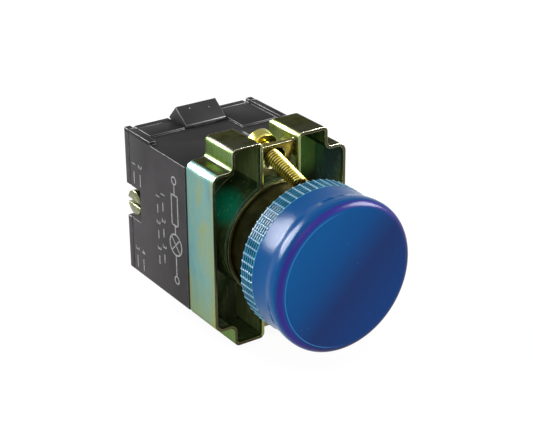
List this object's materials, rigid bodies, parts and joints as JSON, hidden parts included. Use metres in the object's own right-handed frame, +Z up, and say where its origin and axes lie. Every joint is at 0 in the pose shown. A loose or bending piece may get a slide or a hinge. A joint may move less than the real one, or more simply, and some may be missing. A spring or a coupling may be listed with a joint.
{
  "type": "panel pilot light",
  "caption": "Panel pilot light with a knurled round blue lens, a chromated metal bracket with angled clamp screws and a square black lamp module with side terminals",
  "frame": {"origin": "on the lens axis, in the plane of the bracket's front rim, where the back of the panel lies", "axes": "+Z is up, the lens faces -Y, the terminals are at the back towards +Y, and +X is to the right seen from the front"},
  "size_m": [0.0296, 0.0526, 0.04],
  "materials": {
    "chromated_bracket": "yellow-green chromated zinc casting",
    "chromated_bush": "olive-gold chromated metal",
    "gasket_rubber": "black rubber ring",
    "blue_lens": "blue translucent moulding",
    "gold_screw": "yellow chromated steel",
    "black_moulding": "black moulded plastic",
    "black_cover": "black moulded plastic",
    "black_tab": "black moulded plastic",
    "spring_steel": "spring wire",
    "bulb_glass": "clear glass envelope with a metal base",
    "shell_brass": "thin drawn brass",
    "contact_brass": "brass strip and turned brass",
    "carrier_moulding": "black moulded plastic",
    "resistor_ceramic": "lacquered ceramic rod",
    "terminal_metal": "nickel-plated steel"
  },
  "bodies": {
    "frame_and_module": {"mounting_bracket": "chromated_bracket", "panel_bush": "chromated_bush", "panel_gasket": "gasket_rubber", "module_housing": "black_moulding", "rear_cover": "black_cover", "lamp_shell": "shell_brass", "bulb": "bulb_glass", "contact_carrier": "carrier_moulding", "contact_spring": "spring_steel", "contact_lead": "contact_brass", "shell_lead": "contact_brass", "series_resistor": "resistor_ceramic", "terminal_plate_left": "terminal_metal", "terminal_plate_right": "terminal_metal", "release_spring": "spring_steel"},
    "lens": {"lens_cap": "blue_lens"},
    "upper_clamp_screw": {"clamp_screw_top": "gold_screw"},
    "lower_clamp_screw": {"clamp_screw_bottom": "gold_screw"},
    "release_latch": {"release_tab": "black_tab"},
    "lamp_contact": {"centre_contact": "contact_brass"},
    "left_terminal_screw": {"terminal_screw_left": "terminal_metal", "saddle_clamp_left": "terminal_metal"},
    "right_terminal_screw": {"terminal_screw_right": "terminal_metal", "saddle_clamp_right": "terminal_metal"}
  },
  "joints": [
    {"name": "lens_unscrew", "type": "slide", "parent": "frame_and_module", "child": "lens", "axis": [0, -1, 0], "range_m": [0, 0.0042]},
    {"name": "upper_clamp_travel", "type": "slide", "parent": "frame_and_module", "child": "upper_clamp_screw", "axis": [0, 0.9613, 0.2756], "range_m": [-0.0006, 0.007]},
    {"name": "lower_clamp_travel", "type": "slide", "parent": "frame_and_module", "child": "lower_clamp_screw", "axis": [0, 0.9613, -0.2756], "range_m": [-0.0006, 0.007]},
    {"name": "release_pull", "type": "slide", "parent": "frame_and_module", "child": "release_latch", "axis": [0, 1, 0], "range_m": [0, 0.0014], "stiffness_N_per_m": 300, "springref_m": -0.002, "deforming": ["release_spring"]},
    {"name": "contact_press", "type": "slide", "parent": "frame_and_module", "child": "lamp_contact", "axis": [0, 1, 0], "range_m": [0, 0.0015], "stiffness_N_per_m": 400, "springref_m": -0.002, "deforming": ["contact_spring"]},
    {"name": "left_terminal_open", "type": "slide", "parent": "frame_and_module", "child": "left_terminal_screw", "axis": [-1, 0, 0], "range_m": [0, 0.0025]},
    {"name": "right_terminal_open", "type": "slide", "parent": "frame_and_module", "child": "right_terminal_screw", "axis": [1, 0, 0], "range_m": [0, 0.0025]}
  ]
}
